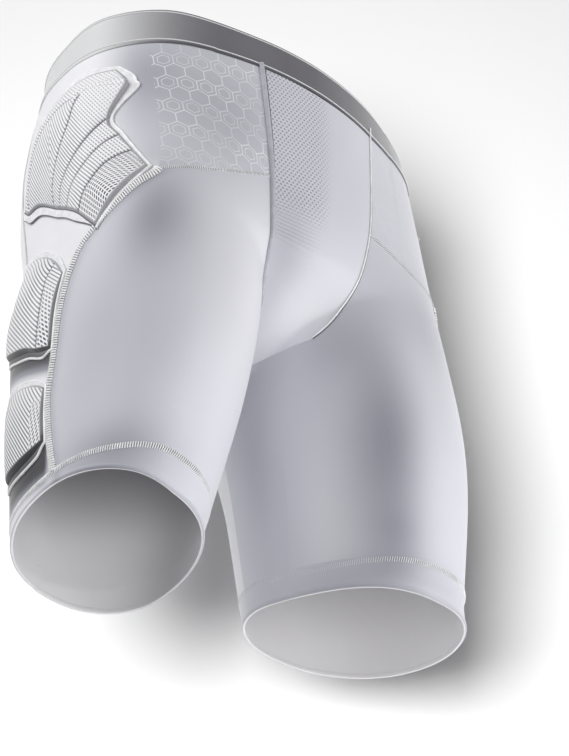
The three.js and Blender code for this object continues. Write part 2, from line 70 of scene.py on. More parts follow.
# The worn legs differ a little. Tables give the pouch's edge by drop and the hem's stitches by angle.
SIDES = [
    {"name": "right", "right": True, "sign": -1, "axis": 0, "out": 0, "front": 0, "hem_front": 0,
     "hem_back": 0, "tilt_front": 5, "tilt_out": -17, "hem_out": -6, "hem_in": -3, "hem_lower": 4,
     "pouch": [[37, 53], [100, 44.5], [147, 39.5], [209, 36], [229, 31], [256, 20], [262, 13]],
     "stitch_height": [[-180, 22], [-90, 20], [-20, 10], [25, 9.5], [60, 14.2], [90, 22], [180, 22]]},
    {"name": "left", "right": False, "sign": 1, "axis": 4, "out": 6, "front": 6, "hem_front": 20,
     "hem_back": 4, "tilt_front": -14, "tilt_out": 6, "hem_out": 3, "hem_in": -2, "hem_lower": 1,
     "pouch": [[37, 64.5], [147, 60], [210, 47.5], [240, 36], [256, 24], [262, 13]],
     "stitch_height": [[-180, 20], [0, 24], [60, 26], [90, 25.5], [133, 18], [180, 18]]},
]

# Cloth, waistband, hems and pads
CLOTH, CLOTH_STEP = 1.4, 3.2
BAND_HEIGHT, BAND_RAISE, BAND_WALL = 37, 0.8, 2.2
BAND_CORD, BAND_CORD_WIDTH, BAND_CORD_TOP, BAND_CORD_LOW = 0.7, 1.4, 2.3, 3.8
BAND_DIP, BAND_LEAN = 3.5, 4.5
HEM_HEIGHT, HEM_WALL, HEM_ROLL, HEM_ROLL_HEIGHT = 22, 1.6, 0.5, 3.6
SIDE_SEAM_TOP, SIDE_SEAM_LOW = 185, 421
POUCH_STEP, POUCH_HALF = 1.3, 59
POUCH_BULGE, TIP_RISE, GUSSET_TURN, BACK_EDGE = 9, 0.6, 28, 50
PAD_BASE, PAD_ROUND, PAD_EASE, TIP_LIFT = 1.4, 2.6, 11, 3
PLATE_BASE, PLATE_THICKNESS, PAD_MARGIN = 0.2, 1.3, 5
RIB_PITCH = 2.6


def lerp(a, b, t):
    return a + (b - a) * t


def smooth(value, low, high):
    t = np.clip((value - low) / (high - low), 0, 1)
    return t * t * (3 - 2 * t)


def unit(vectors):
    return vectors / np.linalg.norm(vectors, axis=-1, keepdims=True)


def hermite(a, b, slope_a, slope_b, t):
    rise = t * t * (3 - 2 * t)
    return lerp(a, b, rise) + t * (1 - t) ** 2 * slope_a + t * t * (t - 1) * slope_b


def curve(table, place):
    """A smooth curve through a short table, with rows of [place, value]."""
    x, y = np.array(table, float).T
    after = np.minimum(np.arange(len(x)) + 1, len(x) - 1)
    before = np.maximum(np.arange(len(x)) - 1, 0)
    slope = (y[after] - y[before]) / (x[after] - x[before])
    place = np.clip(place, x[0], x[-1])
    i = np.clip(np.searchsorted(x, place, side="right") - 1, 0, len(x) - 2)
    step = x[i + 1] - x[i]
    return hermite(y[i], y[i + 1], slope[i] * step, slope[i + 1] * step, (place - x[i]) / step)


def spread(values, share):
    """Values given at even steps from 0 to 1, smooth between them and straight on beyond the ends."""
    last = len(values) - 1
    slope = np.gradient(values, axis=0)
    x = np.asarray(share, float) * last
    i = np.clip(np.floor(x).astype(int), 0, last - 1)
    t = (x - i)[:, None, None]
    inside = np.clip(t, 0, 1)
    inner = hermite(values[i], values[i + 1], slope[i], slope[i + 1], inside)
    return inner + (t - inside) * np.where(t < 0, slope[i], slope[i + 1])


# The trunk's half width and its reach forward and back, at five drops below the waist
TRUNK_DROPS = [0, 0.4 * RISE, 0.75 * RISE, 1.05 * RISE, 1.4 * RISE]
TRUNK = {"half": [WAIST_WIDTH / 2, HIP_WIDTH / 2, 0.48 * HIP_WIDTH, 0.46 * HIP_WIDTH, 0.425 * HIP_WIDTH],
         "front": [WAIST_FRONT, 1.1 * HIP_FRONT, HIP_FRONT, 0.84 * HIP_FRONT, 0.5 * HIP_FRONT],
         "back": [WAIST_BACK, 0.97 * HIP_BACK, HIP_BACK, 0.8 * HIP_BACK, 0.42 * HIP_BACK]}


def leg_tables(side):
    """The sections of one leg by drop: outwards, inwards, forward and back from its axis."""
    thigh_out = THIGH["out"] + side["out"] / 2
    levels = [0, 0.5 * RISE, RISE, THIGH_MID, LENGTH]
    out = [0.5 * thigh_out, 0.8 * thigh_out, thigh_out, MID["out"] + side["out"],
           HEM["out"] + side["out"] + side["hem_out"]]
    inward = [0.5 * THIGH["in"], 0.8 * THIGH["in"], THIGH["in"], MID["in"], HEM["in"] + side["hem_in"]]
    front = [0.5 * THIGH["front"], 0.85 * THIGH["front"], THIGH["front"], MID["front"] + side["front"],
             HEM["front"] + side["hem_front"]]
    back = [[0, 0.7 * THIGH["back"]], [0.4 * RISE, 0.93 * HIP_BACK], [0.75 * RISE, 1.04 * HIP_BACK],
            [1.05 * RISE, (THIGH["back"] + HIP_BACK) / 2], [1.35 * RISE, 0.96 * THIGH["back"]],
            [THIGH_MID, MID["back"]], [LENGTH, HEM["back"] + side["hem_back"]]]
    return {"out": list(zip(levels, out)), "in": list(zip(levels, inward)),
            "front": list(zip(levels, front)), "back": back}


for side in SIDES:
    side["tables"] = leg_tables(side)


def leg_axis(side, drop):
    below = np.maximum(0, drop - LEG_TOP)
    x = AXIS_X + side["axis"] + math.tan(math.radians(SPLAY)) * below
    return x, lerp(AXIS_Y, HEM_AXIS_Y, below / (LENGTH - LEG_TOP))


# How much slimmer the right hip is worn towards its back, by drop
SLIM = [[0, 5], [20, 4], [45, 1], [70, 0], [100, 0], [135, 3], [158, 6], [180, 8.5], [203, 8.5], [225, 7],
        [246, 5.5], [268, 3.5], [300, 3], [LENGTH, 3]]


def sections(drop):
    """All that the body's outline needs at each drop."""
    legs = []
    for side in SIDES:
        axis_x, axis_y = leg_axis(side, drop)
        sizes = {key: curve(table, drop) for key, table in side["tables"].items()}
        legs.append({"sign": side["sign"], "x": axis_x, "y": axis_y, **sizes})
    under = np.maximum(0, drop - UNDER_TOP) ** 2 / (2 * UNDER_RADIUS)
    half, front, back = (curve(list(zip(TRUNK_DROPS, sizes)), drop) for sizes in TRUNK.values())
    return {"half": half, "front": front + TRUNK_Y, "back": back - TRUNK_Y, "under": under,
            "slim": curve(SLIM, drop), "legs": legs}


def smooth_min(a, b):
    h = np.clip(0.5 + 0.5 * (b - a) / BLEND, 0, 1)
    return lerp(b, a, h) - BLEND * h * (1 - h)


def field(x, y, level):
    """Below zero inside the body that the shorts fit."""
    ahead = y < TRUNK_Y
    reach = np.where(ahead, level["front"], level["back"])
    power = np.where(ahead, POWER["trunk_front"], POWER["trunk_back"])
    flat = np.abs(x / level["half"]) ** power + np.abs((y - TRUNK_Y) / reach) ** power
    radius = np.sqrt(flat ** (2 / power) + CONE) - math.sqrt(1 + CONE)
    total = radius * np.minimum(level["half"], reach) + level["under"]
    for leg in level["legs"]:
        across = leg["sign"] * x - leg["x"]
        along = y - leg["y"]
        wide = np.where(across > 0, leg["out"], leg["in"])
        deep = np.where(along < 0, leg["front"], leg["back"])
        power = np.where(along < 0, POWER["leg_front"], POWER["leg_back"])
        flat = np.abs(across / wide) ** power + np.abs(along / deep) ** power
        total = smooth_min(total, (flat ** (1 / power) - 1) * np.minimum(wide, deep))
    return total + level["slim"] * smooth(-x, 60, 130) * smooth(y, -55, 15)


def hit(x, y, drop, step_x, step_y, near, far):
    """The last point inside the body on each level ray."""
    level = sections(drop)
    low, high = near, far
    for _ in range(HALVINGS):
        middle = (low + high) / 2
        inside = field(x + step_x * middle, y + step_y * middle, level) < 0
        low, high = np.where(inside, middle, low), np.where(inside, high, middle)
    return np.stack([x + step_x * low, y + step_y * low, -drop], -1)


def surface(side, angle, drop):
    """The surface round one leg's axis: angle 0 is the side, 90 the front and 180 the inseam."""
    angle, drop = np.broadcast_arrays(np.radians(angle), np.asarray(drop, float))
    axis_x, axis_y = leg_axis(side, drop)
    step_x = np.cos(angle)
    far = np.where(step_x < 0, axis_x / np.maximum(-step_x, 1e-9), RAY_END)
    far = np.minimum(far, RAY_END)
    start = np.minimum(far, RAY_START)
    return hit(side["sign"] * axis_x, axis_y, drop, side["sign"] * step_x, -np.sin(angle), start, far)


def outward(points):
    """Unit normals of the body at points on it."""
    e = 0.5
    x, y, drop = points[..., 0], points[..., 1], -points[..., 2]
    level = sections(drop)
    slope = np.stack([
        field(x + e, y, level) - field(x - e, y, level),
        field(x, y + e, level) - field(x, y - e, level),
        field(x, y, sections(drop - e)) - field(x, y, sections(drop + e)),
    ], -1)
    return unit(slope)


def turn_where(test, low, high):
    """The place between two limits where a test changes from false to true."""
    for _ in range(22):
        middle = (low + high) / 2
        passed = test(middle)
        low, high = np.where(passed, low, middle), np.where(passed, middle, high)
    return (low + high) / 2


CROTCH = float(turn_where(lambda drop: field(0, AXIS_Y, sections(drop)) > 0, 0.9 * RISE, 1.3 * RISE))
POUCH_END = CROTCH - TIP_RISE


# Seams, by drop below the waist
def waist_drop(side, angle):
    """The waist dips in front, and the worn shorts sit a little higher on the right."""
    across = surface(side, angle, 20 + 0 * angle)[..., 0]
    return FRONT_DIP * (0.5 + 0.5 * np.sin(np.radians(angle))) + WAIST_TILT * across


def hem_drop(side, angle):
    turn = np.radians(angle)
    return LENGTH + side["hem_lower"] - side["tilt_front"] * np.sin(turn) + side["tilt_out"] * np.cos(turn)


SIDE_SEAM = [[BAND_HEIGHT, 58], [0.45 * RISE, 62], [185, 63], [198, 54.5], [215, 44.5], [230, 36],
             [241, 29.5], [254, 26], [270, 22.3], [300, 18.5], [320, 17.6], [348, 15.2], [362, 14], [382, 16],
             [401, 19], [423, 24]]
INNER_SEAM = [[POUCH_END + 45, 166], [POUCH_END + 95, 158], [LENGTH - HEM_HEIGHT, 161]]
FRONT_GRAIN = [[BAND_HEIGHT, 109], [0.75 * RISE, 117], [RISE, 133], [1.25 * RISE, 155], [LENGTH, 160]]
YOKE_SEAM = [[60, 185.5], [70, 183], [84, 178], [92, 172], [101, 165], [112, 155], [124, 147]]


def edges_of(side):
    """The angles of the pouch's seam with the inner thigh's below it, and of the back's middle."""
    drops = POUCH_END * (1 - (1 - np.linspace(0, 1, 120)) ** 1.8)
    half = curve(side["pouch"], drops)
    pouch = turn_where(lambda turn: side["sign"] * surface(side, turn, drops)[..., 0] < half, 60.0, 179.0)
    back = turn_where(lambda turn: np.abs(surface(side, -turn, drops)[..., 0]) < 0.05, 60.0, 179.0)
    behind = [[POUCH_END + 40, GUSSET_TURN - 180], [LENGTH - HEM_HEIGHT, GUSSET_TURN - 180]]
    return {"pouch": [*zip(drops, pouch), *INNER_SEAM], "back": [*zip(drops, -back), *behind]}


for side in SIDES:
    side["edges"] = edges_of(side)


def front_turn(side, drop, across):
    """The angle on a front panel: columns keep to the pouch's seam only near it."""
    seam, grain = curve(SIDE_SEAM, drop), curve(FRONT_GRAIN, drop)
    inner = curve(side["edges"]["pouch"], drop)
    return lerp(seam, grain, across) + (inner - grain) * across ** 5


def yoke_drop(side, across):
    """The seam between a yoke and the thigh below it."""
    drop = 170 + 0 * across
    for _ in range(5):
        drop = curve(YOKE_SEAM, front_turn(side, drop, across))
    return drop


# Meshes
def lengths_along(points, axis):
    """How far each point of a grid lies along its row or column."""
    steps = np.linalg.norm(np.diff(points, axis=axis), axis=-1)
    start = np.zeros_like(np.take(steps, [0], axis=axis))
    return np.concatenate([start, np.cumsum(steps, axis=axis)], axis=axis)


def linked(name, data, matrix=Matrix(), collection=bpy.context.scene.collection):
    """A new object in a collection, at the origin unless a matrix is given."""
    made = bpy.data.objects.new(name, data)
    made.matrix_world = matrix
    collection.objects.link(made)
    return made


def new_object(name, vertices, faces, paint, attributes=(), sharp=50):
    """An object with smooth shading from vertices in millimetres, facing out."""
    mesh = bpy.data.meshes.new(name)
    mesh.from_pydata((vertices * MM).tolist(), [], faces)
    mesh.polygons.foreach_set("use_smooth", np.ones(len(mesh.polygons), bool))
    mesh.set_sharp_from_angle(angle=math.radians(sharp))
    for key, values in dict(attributes).items():
        layer = mesh.attributes.new(key, "FLOAT", "POINT")
        layer.data.foreach_set("value", np.ascontiguousarray(values, np.float32).ravel())
    mesh.materials.append(paint.material)
    return linked(name, mesh)


def quads(index, flip=False):
    """The quads between neighbours in a grid of indices, or in many such grids."""
    corners = index[..., :-1, :-1], index[..., 1:, :-1], index[..., 1:, 1:], index[..., :-1, 1:]
    found = np.stack(corners, -1).reshape(-1, 4)
    return found[:, ::-1] if flip else found


def shell(name, outer, inner, paint, attributes, wrap=False, sharp=50):
    """A closed solid from two grids of points with the same layout, one outside and one inside."""
    layer = outer[..., 0].size
    index = np.arange(2 * layer).reshape(2, *outer.shape[:2])
    if wrap:
        index = np.concatenate([index, index[:, :, :1]], 2)
    found = [quads(index[0]), quads(index[1], True), quads(index[:, 0], True), quads(index[:, -1])]
    if not wrap:
        found += [quads(index[:, :, 0]), quads(index[:, :, -1], True)]
    faces = np.concatenate(found)
    vertices = np.concatenate([outer.reshape(-1, 3), inner.reshape(-1, 3)])
    a, b, c, d = (vertices[faces[:, k]] for k in range(4))
    if (a * (np.cross(b, c) + np.cross(c, d))).sum() < 0:
        faces = faces[:, ::-1]
    both = {key: np.tile(np.asarray(v, float).ravel(), 2) for key, v in attributes.items()}
    both["inside"] = np.repeat([0.0, 1.0], layer)
    return new_object(name, vertices, faces.tolist(), paint, both, sharp)


def ring_turn(sides):
    return np.linspace(0, 2 * math.pi, sides, endpoint=False)[:, None]


def ringed(name, rings, paint, closed=False):
    """One mesh of many tubes, from their points by tube, step and turn."""
    index = np.arange(rings[..., 0].size).reshape(rings.shape[:3])
    if closed:
        index = np.concatenate([index, index[:, :1]], 1)
    faces = quads(np.concatenate([index, index[:, :, :1]], 2), True).tolist()
    if not closed:
        faces += index[:, 0, ::-1].tolist() + index[:, -1].tolist()
    return new_object(name, rings.reshape(-1, 3), faces, paint, sharp=80)


def tubes(name, paths, normals, radius, sides, closed=False):
    """Threads or cords along many paths of equally many points, joined in one mesh."""
    ahead = np.roll(paths, -1, 1) - np.roll(paths, 1, 1) if closed else np.gradient(paths, axis=1)
    tangent = unit(ahead)
    across = unit(np.cross(tangent, normals))
    lift = np.cross(across, tangent)
    turn = ring_turn(sides)
    radius = np.broadcast_to(np.asarray(radius, float), paths.shape[:2])[..., None, None]
    rings = paths[:, :, None] + radius * (np.cos(turn) * across[:, :, None] + np.sin(turn) * lift[:, :, None])
    return ringed(name, rings, PAINTS["thread"], closed)


def settle(piece, slot, *nodes):
    """A piece of the object: it rides on the one body and stands for its nodes."""
    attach(piece, BODY)
    if nodes:
        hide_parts(*nodes)
    return piece


def as_cloth(outer):
    """Works out a stretched sheet's flat size and area from its outer face; nothing uses them."""
    length, width = lengths_along(outer, 0)[-1].max() * MM, lengths_along(outer, 1)[:, -1].max() * MM
    a, b, c, d = outer[:-1, :-1], outer[1:, :-1], outer[1:, 1:], outer[:-1, 1:]
    halves = np.cross(b - a, c - a), np.cross(c - a, d - a)
    area = sum(np.linalg.norm(half, axis=-1).sum() / 2 for half in halves) * MM * MM
    area = min(area, width * length)


# Materials
def operation(name):
    """A method that adds one math node."""
    return lambda *values: values[0].paint.math(name, *values)


class Value:
    """A number or colour at each point of a surface. Arithmetic on it adds nodes to its material."""
    __add__, __sub__ = operation("ADD"), operation("SUBTRACT")
    __mul__, __truediv__ = operation("MULTIPLY"), operation("DIVIDE")
    __abs__, fraction = operation("ABSOLUTE"), operation("FRACT")

    def __init__(self, paint, socket):
        self.paint, self.socket = paint, socket

    def __rsub__(self, number):
        return self.paint.math("SUBTRACT", number, self)

    def ramp(self, low, high, to_low=0.0, to_high=1.0):
        """A smooth step from one value to another."""
        inputs = {"Value": self, "From Min": low, "From Max": high, "To Min": to_low, "To Max": to_high}
        return self.paint.add("MapRange", inputs, interpolation_type="SMOOTHSTEP")


class Paint:
    """A material made of nodes by short calls. Inputs are numbers, colours or values."""

    def __init__(self, name, colour, rough=0.6, sheen=0.3, specular=0.35):
        self.material = bpy.data.materials.new(name)
        self.material.use_nodes = True
        self.tree = self.material.node_tree
        self.shader = self.tree.nodes["Principled BSDF"]
        self.colour = colour
        for key, value in (("Base Color", colour), ("Roughness", rough), ("Sheen Weight", sheen),
                           ("Sheen Roughness", 0.4), ("Specular IOR Level", specular)):
            self.put(self.shader.inputs[key], value)

    def put(self, socket, value):
        if isinstance(value, Value):
            self.tree.links.new(value.socket, socket)
        elif isinstance(value, tuple):
            socket.default_value = (*value, 1)
        else:
            socket.default_value = value

    def add(self, kind, inputs, out=0, **options):
        """A new node's output."""
        node = self.tree.nodes.new(f"ShaderNode{kind}")
        for key, value in options.items():
            setattr(node, key, value)
        for key, value in inputs.items():
            self.put(node.inputs[key], value)
        return Value(self, node.outputs[out])

    def math(self, operation, *values):
        return self.add("Math", dict(enumerate(values)), operation=operation)

    def mix(self, factor, a, b):
        return self.add("Mix", {0: factor, 6: a, 7: b}, out=2, data_type="RGBA")

    def layer(self, factor, colour):
        """Paints a colour over what is there."""
        self.colour = self.mix(factor, self.colour, colour)
        self.put(self.shader.inputs["Base Color"], self.colour)

    def attribute(self, name):
        return self.add("Attribute", {}, out="Fac", attribute_name=name)

    def noise(self, scale, detail=2.0):
        """Noise in the object's own metres."""
        place = self.add("TexCoord", {}, out="Object")
        return self.add("TexNoise", {"Vector": place, "Scale": scale, "Detail": detail}, out="Fac")

    def wave(self, name, pitch):
        """Ridges across an attribute in millimetres, from 0 between them to 1 on top."""
        return self.math("COSINE", self.attribute(name) * (2 * math.pi / pitch)) * 0.5 + 0.5

    def off_middle(self, name, pitch):
        """How far off the middle of its step each point is, 0 to 0.5, for an attribute in millimetres."""
        return abs((self.attribute(name) / pitch).fraction() - 0.5)

    def bump(self, height, distance, strength):
        normal = self.add("Bump", {"Strength": strength, "Distance": distance, "Height": height})
        self.put(self.shader.inputs["Normal"], normal)


# The knit's own colour; painted shade; the inside face painted pale as if lit near the hem; painted shade
# further up inside; paler side and back, also used for patches of painted light; nearly black painted shadow
CLOTH_COLOUR = (0.60, 0.60, 0.655)
CLOTH_SHADOW = (0.24, 0.24, 0.285)
CLOTH_INSIDE_LIT = (0.88, 0.87, 0.89)
CLOTH_DEPTH_SHADE = (0.30, 0.295, 0.31)
CLOTH_PALE = (0.80, 0.80, 0.83)
CLOTH_DEEP_SHADOW = (0.03, 0.03, 0.035)
HEXAGON, MESH_PITCH, MESH_ROWS, DASH_PITCH = 15.0, 3.5, 0.8, 3.2


def knit_height(paint):
    """Fine knit: narrow wales with a loop's rise and fall along each."""
    return paint.wave("u", 0.9) * 0.6 + paint.wave("v", 0.7) * 0.4


def cloth_paint(name):
    """Satin stretch knit. Its colour carries painted light and shade from attributes: paler on the side, the
    back and in patches of painted light, darker with painted shade, nearly black with painted shadow, and on
    the inside pale as if lit near the hem and darker with painted shade further up.
    """
    paint = Paint(name, CLOTH_COLOUR, 0.5, 0.35)
    painted_shade = paint.attribute("painted_shade")
    # Paler side and back, and soft patches of painted light
    paint.layer(paint.attribute("pale"), CLOTH_PALE)
    # Painted shade, with a little random variation
    paint.layer(painted_shade + (paint.noise(9.0) * 0.10 - 0.05), CLOTH_SHADOW)
    # Nearly black painted shadow
    paint.layer(painted_shade.ramp(1.0, 2.0), CLOTH_DEEP_SHADOW)
    # Inside face: painted pale as if lit, and darker with painted shade further up the legs
    paint.layer(paint.attribute("inside"), paint.mix(paint.attribute("deep"), CLOTH_INSIDE_LIT, CLOTH_DEPTH_SHADE))
    paint.bump(knit_height(paint), 0.00012, 0.5)
    return paint


def hexagons(paint, cell):
    """How far out in its hexagon each place lies, 0 to 0.5, for both halves of a honeycomb."""
    tall = math.sqrt(3)
    found = []
    for shift in (64, 64.5):
        x = abs((paint.attribute("u") / cell + shift).fraction() - 0.5)
        y = paint.attribute("v") / cell + tall * shift
        y = abs(paint.math("MODULO", y, tall) - tall / 2)
        found.append(paint.math("MAXIMUM", x, x * 0.5 + y * (tall / 2)))
    return found


def yoke_paint():
    """The plain cloth with a tonal honeycomb of fine pale lines that fades out towards the side."""
    paint = cloth_paint("yoke_cloth")
    first, second = hexagons(paint, HEXAGON)
    walls = paint.math("MINIMUM", first, second).ramp(0.462, 0.478)
    line = paint.math("MAXIMUM", walls, abs(first - 0.30).ramp(0.014, 0.030, 1.0, 0.0))
    patchy = paint.noise(28.0, 1.0).ramp(0.35, 0.6, 0.45, 0.9)
    paint.layer(line * paint.attribute("print") * patchy, (0.74, 0.74, 0.77))
    return paint


def simple_paint(name, colour):
    paint = Paint(name, tuple(0.86 * c for c in colour))
    paint.layer(paint.noise(160.0).ramp(0.3, 0.7), colour)
    paint.bump(paint.noise(900.0, 3.0), 0.0002, 0.4)
    return paint


def border_paint():
    """The bonded border: as pale as the cloth, with a painted shadow just under a thick pad's low end."""
    paint = simple_paint("pad_border", (0.82, 0.82, 0.85))
    # Painted shadow just under a thick pad's low end
    paint.layer(paint.attribute("dark"), (0.07, 0.07, 0.075))
    return paint


def pouch_paint():
    """Mesh knit with rows of small round holes, fading to plain cloth."""
    paint = cloth_paint("mesh_cloth")
    row = paint.attribute("v") / (MESH_PITCH * MESH_ROWS)
    odd = paint.math("MODULO", paint.math("FLOOR", row), 2.0) * 0.5
    x = (paint.attribute("u") / MESH_PITCH + odd).fraction() - 0.5
    y = (row.fraction() - 0.5) * MESH_ROWS
    hole = paint.math("SQRT", x * x + y * y).ramp(0.16, 0.30, 1.0, 0.0) * paint.attribute("mesh")
    paint.layer(hole * 0.75, (0.20, 0.20, 0.25))
    ripple = paint.wave("v", 3.2) * paint.attribute("ripple")
    paint.bump(ripple * 0.6 - hole + knit_height(paint) * 0.15, 0.0006, 0.6)
    return paint


def band_paint():
    """Woven elastic: grey satin with fine upright ribs and pale cords along both edges, painted shade towards
    the front, and a painted shadow line under the lower cord and at the top edge.
    """
    paint = Paint("waistband", (0.66, 0.665, 0.67), 0.42, 0.2, 0.4)
    # Painted shade, darker towards the front
    paint.layer(paint.attribute("painted_shade"), (0.115, 0.11, 0.125))
    paint.layer(paint.noise(14.0) * 0.25, (0.42, 0.42, 0.44))
    paint.layer(paint.attribute("cord").ramp(0.25, 0.6), (0.66, 0.66, 0.68))
    # Painted shadow under the lower cord and along the top edge
    paint.layer(paint.attribute("cord_shadow"), (0.06, 0.06, 0.07))
    paint.bump(paint.wave("u", 1.3) * 0.6 + paint.wave("v", 1.1) * 0.4, 0.00015, 0.5)
    return paint


def pad_paint():
    """Ribbed knit over foam, with painted shade: dark lines in the grooves between ribs and in rows of
    dashes, dark sewn channels, and a grey wall painted as in shade, nearly black with painted shadow at a
    pad's low end.
    """
    paint = Paint("pad", (0.84, 0.84, 0.86))
    valley = paint.off_middle("rib", RIB_PITCH).ramp(0.24, 0.42)
    line = paint.off_middle("row", RIB_PITCH).ramp(0.18, 0.34)
    kept = paint.off_middle("chop", DASH_PITCH).ramp(0.30, 0.38, 1.0, 0.0)
    broken = 1.0 - paint.attribute("broken") * (1.0 - kept)
    dashed = paint.attribute("dashed")
    # Painted shade in the grooves between ribs and in the rows of dashes
    groove_shade = (valley * broken * (1.0 - dashed) + line * kept * dashed) * paint.attribute("top")
    # The painted groove shade is patchy, and stronger towards a pad's low end and its last rows
    strength = paint.noise(22.0, 1.0).ramp(0.3, 0.65, 0.75, 1.0) * paint.attribute("groove_shade_strength")
    paint.layer(groove_shade * strength, (0.02, 0.02, 0.035))
    # Painted shade in the sewn channels
    paint.layer(paint.attribute("channel"), (0.07, 0.07, 0.09))
    # The wall: grey as in shade, nearly black with painted shadow at the low end
    wall = paint.mix(paint.attribute("under"), (0.36, 0.36, 0.38), (0.06, 0.06, 0.065))
    paint.layer(1.0 - paint.attribute("top"), wall)
    paint.bump(paint.noise(1100.0, 3.0) - groove_shade, 0.0003, 0.5)
    return paint


PAINTS = {
    **{name: cloth_paint(name) for name in ("cloth", "inner_cloth", "hem_cloth")},
    "yoke_cloth": yoke_paint(),
    "mesh_cloth": pouch_paint(),
    "waistband": band_paint(),
    "pad": pad_paint(),
    "pad_border": border_paint(),
    "thread": simple_paint("thread", (0.92, 0.92, 0.93)),
    # Dark strips of painted shadow beside the pouch's piping and at the hip pad's low side
    "shade_strip": simple_paint("painted_shadow_strip", (0.12, 0.12, 0.14)),
    "shade": simple_paint("seam_shade", (0.34, 0.34, 0.37)),
    "piping": simple_paint("pouch_piping", (0.46, 0.46, 0.51)),
}


# Panels
def bell(away):
    """A soft hump that is 1 at 0."""
    return np.exp(-away ** 2)


def blot(angle, drop, middle, width, level, height):
    """A soft patch round an angle and a drop."""
    return bell((angle - middle) / width) * bell((drop - level) / height)


# Soft patches of painted shade on the cloth: how strong, then the middle and width by angle, and by drop
SHADE_PATCHES = {
    "right": [(0.72, 64, 14, 232, 48), (0.40, 52, 22, 330, 70), (0.62, 60, 28, 425, 22),
              (0.40, 95, 32, 110, 55), (0.50, 56, 18, 80, 40)],
    "left": [(0.8, 110, 13, 350, 90), (0.25, 125, 14, 262, 30), (0.3, 107, 12, 418, 22),
             (0.35, 85, 25, 225, 45), (0.3, 178, 16, 330, 70), (0.3, 107, 34, 442, 14)],
}
# A soft patch of painted light on each thigh's front: how strong, then the middle and width by angle, and by
# drop
PAINTED_LIGHT = {"right": (0.5, 112, 22, 270, 90), "left": (0.6, 138, 16, 400, 90)}


def painted_shade_of(side, angle, drop):
    """Painted shade: nearly black painted shadow just below the right leg's two lower pads, a soft painted
    shadow beside the side seam, and soft patches of painted shade.
    """
    near = smooth(angle, -62, -40) * (1 - smooth(angle, 12, 19)) * side["right"]
    level = drop - 0.5 * angle
    # Painted shadow below the thigh pad and below the lower pad
    thigh = 1.8 * smooth(level, 285, 295) * (1 - smooth(level, 320, 337))
    lower = 2 * smooth(drop, 390, 398) * (1 - smooth(drop, 411, 432))
    # Painted shadow beside the side seam
    beside = 0.3 * bell((angle - curve(SIDE_SEAM, drop) - 3) / 4) * smooth(drop, 175, 200)
    patches = sum(share * blot(angle, drop, *where) for share, *where in SHADE_PATCHES[side["name"]])
    return np.clip(0.04 + near * np.maximum(thigh, lower) + beside + patches, 0, 2)


def inside_shade_of(side, angle, drop):
    """Painted shade on the inside face: darker further up each leg, and on the right leg's inner side."""
    share = 1 if side["right"] else 0.3
    inner = 0.6 * bell((np.mod(angle, 360) - 172) / 36)
    return share * np.clip(0.75 * smooth(LENGTH - drop, 25, 140) + inner, 0, 1)


def pale_of(word, side, angle, drop):
    """The side and back are painted paler, fading out towards the yoke without a seam; each thigh's front
    gets a soft patch of painted light.
    """
    if word in ("side_panel", "back"):
        return 1 - smooth(angle, 22, 58) * (1 - smooth(drop, 168, 190))
    share, *where = PAINTED_LIGHT[side["name"]]
    return share * blot(angle, drop, *where) if word == "thigh_front" else 0 * drop


def cloth_panel(word, side, turn, top, low, width, slot):
    """A panel between two drops given by share across, with its angle by drop and share across."""
    name = f"{word}_{side['name']}"
    ends = np.linspace(0, 1, 33)
    rows = max(4, round(float(np.mean(low(ends) - top(ends))) / CLOTH_STEP))
    down = np.linspace(0, 1, rows + 1)[:, None]
    across = np.linspace(0, 1, round(width / CLOTH_STEP) + 1)[None, :]
    drop = lerp(top(across), low(across), down)
    angle = turn(drop, across)
    base = surface(side, angle, drop)
    run = lengths_along(base, 1)
    # The knit's paint reads painted shade, painted shade inside the legs, and the paler side and back with
    # patches of painted light from these
    marks = {"u": run, "v": drop, "painted_shade": painted_shade_of(side, angle, drop), "deep": inside_shade_of(side, angle, drop),
             "pale": pale_of(word, side, angle, drop)}
    if word == "hip_yoke":
        marks["u"] = run - run[:, -1:]
        strength = 1 if side["right"] else 0.2
        marks["print"] = strength * smooth(angle, 46, 54) * smooth(drop, 40, 52)
    piece = shell(name, base, base - CLOTH * outward(base), PAINTS[slot], marks)
    settle(piece, slot, name)
    as_cloth(base)


def make_panels(side):
    hem = LENGTH - HEM_HEIGHT
    edges = side["edges"]

    front, yoke_seam = partial(front_turn, side), partial(yoke_drop, side)

    def flank(drop, across):
        return lerp(-BACK_EDGE + 0 * drop, curve(SIDE_SEAM, drop), across)

    def behind(drop, across):
        return lerp(curve(edges["back"], drop), -BACK_EDGE, across)

    def inside(drop, across):
        return lerp(curve(edges["pouch"], drop), 360 + curve(edges["back"], drop), across)

    def band(turn):
        return lambda across: waist_drop(side, turn(BAND_HEIGHT + 0 * across, across)) + BAND_HEIGHT

    def above_hem(turn):
        return lambda across: hem_drop(side, turn(hem + 0 * across, across)) - HEM_HEIGHT

    def thighs_meet(across):
        """The pouch's tip, or where both thighs meet in the middle plane."""
        def apart(drop):
            return np.abs(surface(side, inside(drop, across), drop)[..., 0]) > 0.05
        return np.maximum(turn_where(apart, POUCH_END - 20, POUCH_END + 60), POUCH_END)

    panels = {
        "hip_yoke": (front, band(front), yoke_seam, 110, "yoke_cloth"),
        "thigh_front": (front, yoke_seam, above_hem(front), 190, "cloth"),
        "side_panel": (flank, band(flank), above_hem(flank), 120, "cloth"),
        "back": (behind, band(behind), above_hem(behind), 150, "cloth"),
        "inner_thigh": (inside, thighs_meet, above_hem(inside), 90, "inner_cloth"),
    }
    for word, panel in panels.items():
        cloth_panel(word, side, *panel)


